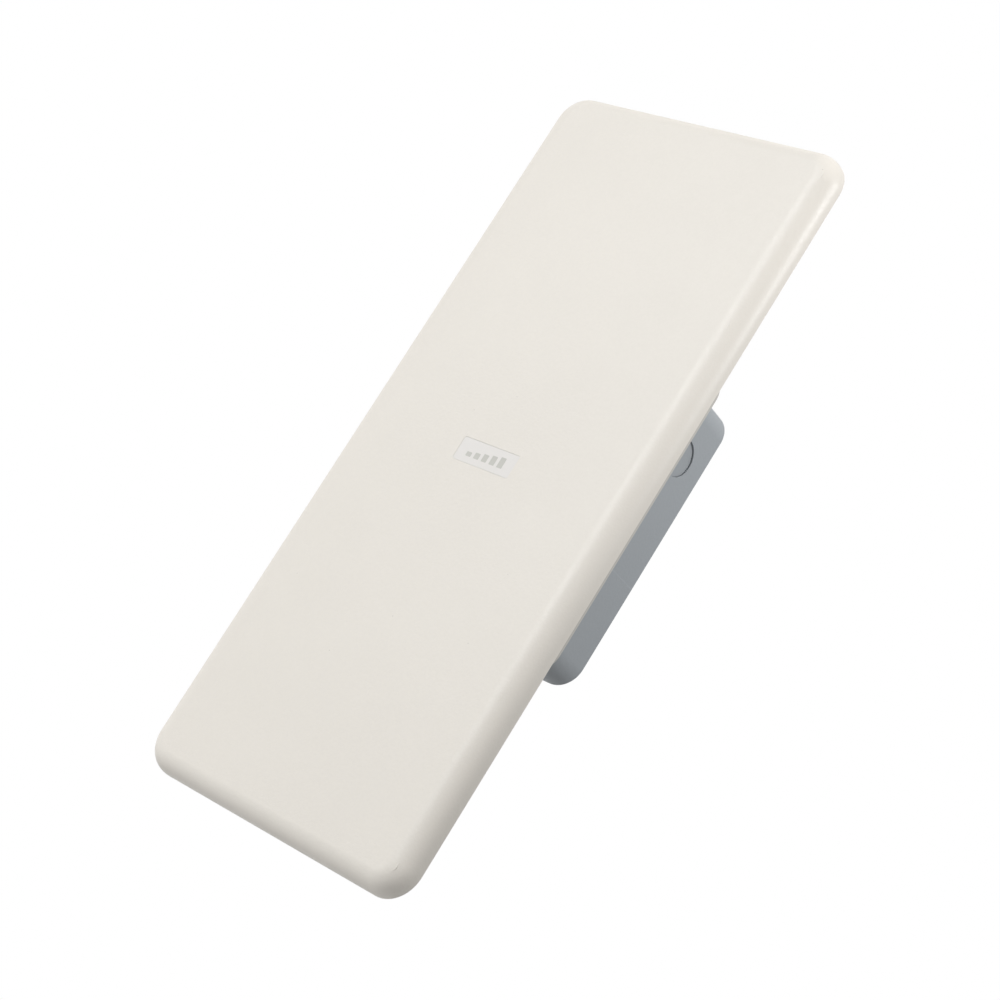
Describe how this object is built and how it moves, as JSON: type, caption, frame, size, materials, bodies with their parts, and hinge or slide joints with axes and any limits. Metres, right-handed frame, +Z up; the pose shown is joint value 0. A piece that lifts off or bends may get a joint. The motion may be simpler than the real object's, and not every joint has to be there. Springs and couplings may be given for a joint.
{
  "type": "outdoor wireless bridge",
  "caption": "Long flat panel antenna with rounded off-white radome and a square grey electronics housing on its back, with cable gland and side plug.",
  "frame": {"origin": "centre of the flat mounting pad on the back of the electronics housing", "axes": "+Z up along the panel's length, the radome faces -Y, +Y out of the mounting pad, +X to the right seen from the front"},
  "size_m": [0.2222, 0.0637, 0.5],
  "materials": {
    "radome_plastic": "satin",
    "nameplate_film": "satin",
    "frame_plastic": "matte",
    "housing_coat": "matte",
    "plug_plastic": "matte",
    "back_plate_coat": "satin",
    "cover_metal": "satin",
    "screw_steel": "satin",
    "seal_rubber": "matte",
    "board_laminate": "satin",
    "patch_metal": "satin",
    "shield_metal": "satin",
    "pad_silicone": "matte",
    "connector_brass": "polished",
    "cable_jacket": "gloss",
    "black_plastic": "matte",
    "gland_nylon": "satin",
    "lens_plastic": "gloss",
    "button_plastic": "satin"
  },
  "bodies": {
    "bridge": {"back_plate": "back_plate_coat", "board_screw_1": "screw_steel", "board_screw_2": "screw_steel", "board_screw_3": "screw_steel", "board_screw_4": "screw_steel", "carrier_frame": "frame_plastic", "cover_screw_1": "screw_steel", "cover_screw_2": "screw_steel", "cover_screw_3": "screw_steel", "cover_screw_4": "screw_steel", "feed_board": "board_laminate", "gland_body": "gland_nylon", "gland_locknut": "gland_nylon", "gland_seal": "seal_rubber", "ground_screw": "screw_steel", "housing_cover": "cover_metal", "housing_gasket": "seal_rubber", "housing_screw_1": "screw_steel", "housing_screw_2": "screw_steel", "housing_screw_3": "screw_steel", "housing_screw_4": "screw_steel", "housing_shell": "housing_coat", "lan_jack": "black_plastic", "main_board": "board_laminate", "nameplate": "nameplate_film", "patch_1": "patch_metal", "patch_2": "patch_metal", "patch_3": "patch_metal", "patch_4": "patch_metal", "patch_5": "patch_metal", "patch_6": "patch_metal", "patch_7": "patch_metal", "patch_8": "patch_metal", "pigtail_1": "cable_jacket", "pigtail_2": "cable_jacket", "pigtail_grommet_1": "seal_rubber", "pigtail_grommet_2": "seal_rubber", "processor_shield": "shield_metal", "radio_shield": "shield_metal", "radome": "radome_plastic", "radome_screw_1": "screw_steel", "radome_screw_2": "screw_steel", "radome_screw_3": "screw_steel", "radome_screw_4": "screw_steel", "radome_screw_5": "screw_steel", "radome_screw_6": "screw_steel", "radome_screw_7": "screw_steel", "radome_screw_8": "screw_steel", "radome_seal": "seal_rubber", "reset_switch": "black_plastic", "rf_connector_1": "connector_brass", "rf_connector_2": "connector_brass", "status_lens": "lens_plastic", "thermal_pad": "pad_silicone", "vent": "black_plastic"},
    "dome_nut": {"gland_nut": "gland_nylon"},
    "plug": {"side_plug": "plug_plastic", "plug_ring": "seal_rubber"},
    "button": {"reset_button": "button_plastic"}
  },
  "joints": [
    {"name": "gland_nut_turn", "type": "hinge", "parent": "bridge", "child": "dome_nut", "pos_m": [0, -0.023, -0.107], "axis": [0, 0, 1], "continuous": true},
    {"name": "side_plug_pull", "type": "slide", "parent": "bridge", "child": "plug", "axis": [1, 0, 0], "range_m": [0, 0.014]},
    {"name": "reset_press", "type": "slide", "parent": "bridge", "child": "button", "axis": [-1, 0, 0], "range_m": [0, 0.0007], "stiffness_N_per_m": 250}
  ]
}
